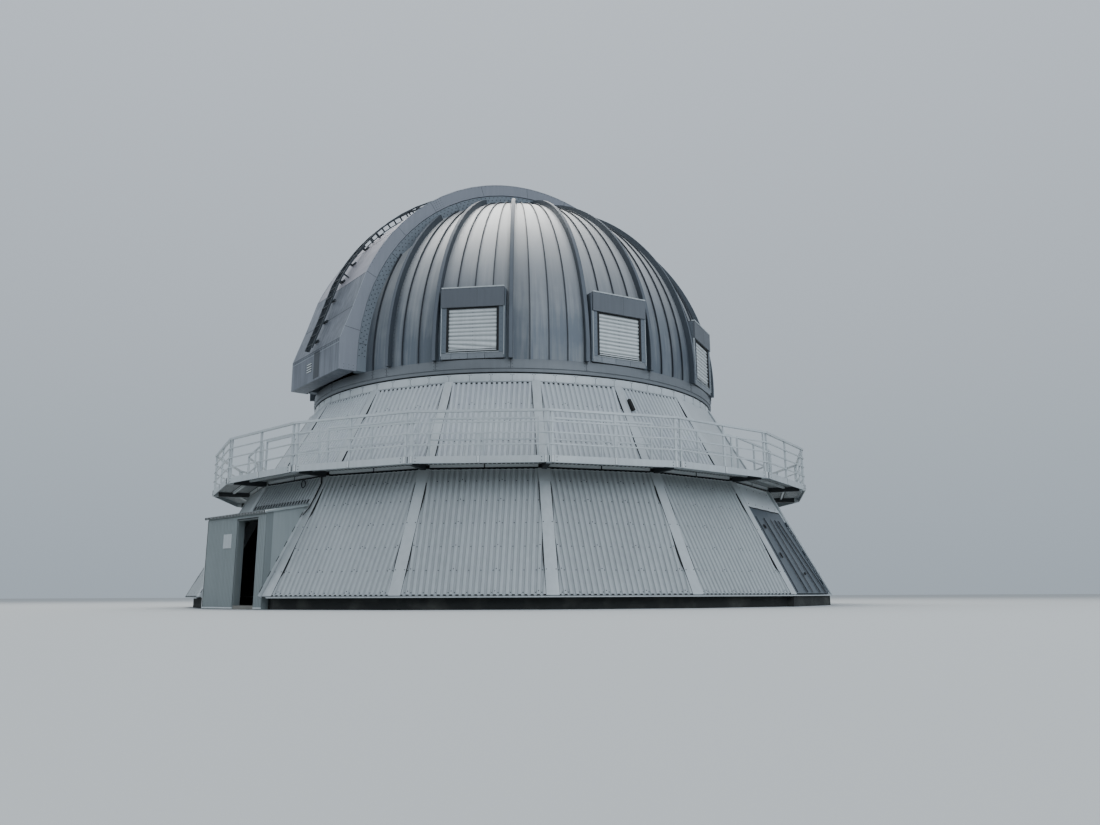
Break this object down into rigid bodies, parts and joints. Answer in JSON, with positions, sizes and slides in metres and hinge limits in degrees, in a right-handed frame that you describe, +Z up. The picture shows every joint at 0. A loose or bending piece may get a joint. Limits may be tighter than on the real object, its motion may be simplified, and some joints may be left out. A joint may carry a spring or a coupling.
{
  "type": "observatory dome building",
  "caption": "Observatory: sloping polygonal base with railed walkway, porch and service hatch, carrying a turning ribbed dome with an up-and-over slit shutter.",
  "frame": {"origin": "on the ground under the dome's upright axis, at the underside of the floor slab", "axes": "+Z up along the dome's axis, -Y towards the front, +X to the right of someone who looks at the front; the slit faces azimuth -54.9 degrees from -Y"},
  "size_m": [18.0488, 18.0544, 12.7032],
  "materials": {
    "concrete": "matt",
    "wall_cladding": "satin",
    "rail_paint": "satin",
    "porch_cladding": "satin",
    "hatch_cladding": "satin",
    "dome_sheet": "satin",
    "dark_sheet": "satin",
    "shutter_sheet": "satin",
    "louvre": "satin",
    "ladder_metal": "satin"
  },
  "bodies": {
    "building": {"floor_slab": "concrete", "foundation_ring": "concrete", "lower_wall_front": "wall_cladding", "lower_wall_right": "wall_cladding", "lower_wall_back": "wall_cladding", "lower_wall_left": "wall_cladding", "lower_wall_over_porch": "wall_cladding", "lower_wall_over_hatch": "wall_cladding", "upper_wall_front": "wall_cladding", "upper_wall_right": "wall_cladding", "upper_wall_left": "wall_cladding", "dome_curb_and_track": "wall_cladding", "walkway_deck_front": "rail_paint", "walkway_deck_right": "rail_paint", "walkway_deck_left": "rail_paint", "walkway_railing_front": "rail_paint", "walkway_railing_right": "rail_paint", "walkway_railing_left": "rail_paint", "porch_wall_left": "porch_cladding", "porch_wall_right": "porch_cladding", "porch_wall_over_door": "porch_cladding", "porch_cheek_left": "porch_cladding", "porch_cheek_right": "porch_cladding", "porch_roof": "wall_cladding"},
    "dome": {"dome_skirt": "shutter_sheet", "dome_shell_front_right": "dome_sheet", "dome_shell_front_left": "dome_sheet", "dome_shell_rear_right": "dome_sheet", "dome_shell_rear_left": "dome_sheet", "dome_window_1": "dark_sheet", "dome_window_2": "dark_sheet", "dome_window_3": "dark_sheet", "dome_window_4": "dark_sheet", "dome_window_5": "dark_sheet", "dome_window_6": "dark_sheet", "dome_window_7": "dark_sheet", "dome_window_8": "dark_sheet", "slit_girder_right": "shutter_sheet", "slit_girder_left": "shutter_sheet", "dome_rear_band": "dome_sheet"},
    "shutter": {"shutter_front": "shutter_sheet", "shutter_middle": "shutter_sheet", "shutter_top": "shutter_sheet", "shutter_side_right": "shutter_sheet", "shutter_side_left": "shutter_sheet", "shutter_ladder": "ladder_metal"},
    "porch_door": {"porch_door_leaf": "porch_cladding"},
    "hatch_left": {"hatch_leaf_left": "hatch_cladding"},
    "hatch_right": {"hatch_leaf_right": "hatch_cladding"}
  },
  "joints": [
    {"name": "dome_turn", "type": "hinge", "parent": "building", "child": "dome", "pos_m": [0, 0, 5.565], "axis": [0, 0, 1], "continuous": true},
    {"name": "shutter_travel", "type": "hinge", "parent": "dome", "child": "shutter", "pos_m": [0, 0, 6.207], "axis": [-0.575, 0.8181, 0], "range_deg": [0, 80]},
    {"name": "porch_door_hinge", "type": "hinge", "parent": "building", "child": "porch_door", "pos_m": [-5.47793, -6.86777, 0], "axis": [0, 0, 1], "range_deg": [0, 90]},
    {"name": "hatch_left_hinge", "type": "hinge", "parent": "building", "child": "hatch_left", "pos_m": [6.47304, -6.26713, 0.30395], "axis": [0.3342, -0.3354, -0.8808], "range_deg": [0, 95]},
    {"name": "hatch_right_hinge", "type": "hinge", "parent": "building", "child": "hatch_right", "pos_m": [8.08928, -3.96744, 0.30395], "axis": [-0.4288, 0.2008, 0.8808], "range_deg": [0, 95]}
  ]
}
